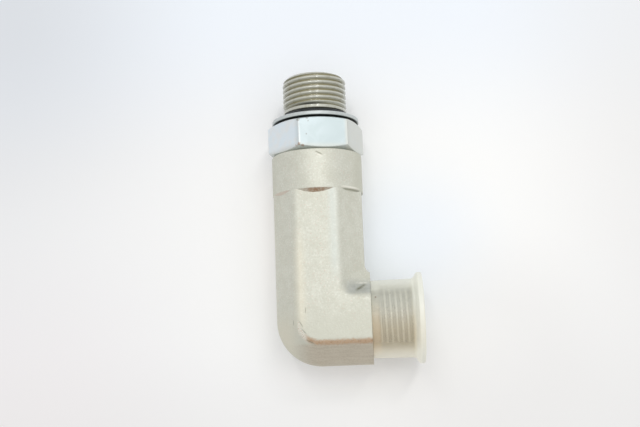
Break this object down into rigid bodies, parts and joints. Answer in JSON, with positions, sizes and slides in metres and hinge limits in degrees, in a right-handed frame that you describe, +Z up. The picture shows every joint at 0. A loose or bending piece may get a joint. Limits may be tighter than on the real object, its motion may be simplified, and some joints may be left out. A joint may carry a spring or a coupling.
{
  "type": "hydraulic elbow adapter",
  "caption": "Right-angle hydraulic elbow adapter with a threaded stud end, locknut, backup washer and O-ring, and a push-on cap over the threaded branch.",
  "frame": {"origin": "middle of the underside of the part's box as it lies, with the locknut's lowest corner at z = 0", "axes": "+Y along the stud towards its tip, +X along the branch towards its cap, +Z up, square to both threads"},
  "size_m": [0.0378, 0.0754, 0.0244],
  "materials": {
    "satin_zinc_plated_steel": "satin zinc plate on forged steel, warm grey",
    "bright_zinc_steel": "bright zinc plate, bluish white",
    "washer_zinc_steel": "bright zinc plate",
    "black_nitrile": "moulded, slightly shiny",
    "natural_polyethylene": "translucent cream, moulded"
  },
  "bodies": {
    "elbow": {"elbow_body": "satin_zinc_plated_steel", "stud_oring": "black_nitrile"},
    "washer": {"backup_washer": "washer_zinc_steel"},
    "nut": {"locknut": "bright_zinc_steel"},
    "cap": {"branch_cap": "natural_polyethylene"}
  },
  "joints": [
    {"name": "nut_turn", "type": "hinge", "parent": "elbow", "child": "washer", "pos_m": [-0.0066, 0.02577, 0.01218], "axis": [0, 1, 0], "range_deg": [0, 94]},
    {"name": "nut_advance", "type": "slide", "parent": "washer", "child": "nut", "axis": [0, 1, 0], "range_m": [0, 0.00035]},
    {"name": "cap_pull", "type": "slide", "parent": "elbow", "child": "cap", "axis": [1, 0, 0], "range_m": [0, 0.014]}
  ],
  "couplings": [
    {"joint": "nut_advance", "follows": "nut_turn", "m_per_rad": 0.00021279}
  ]
}
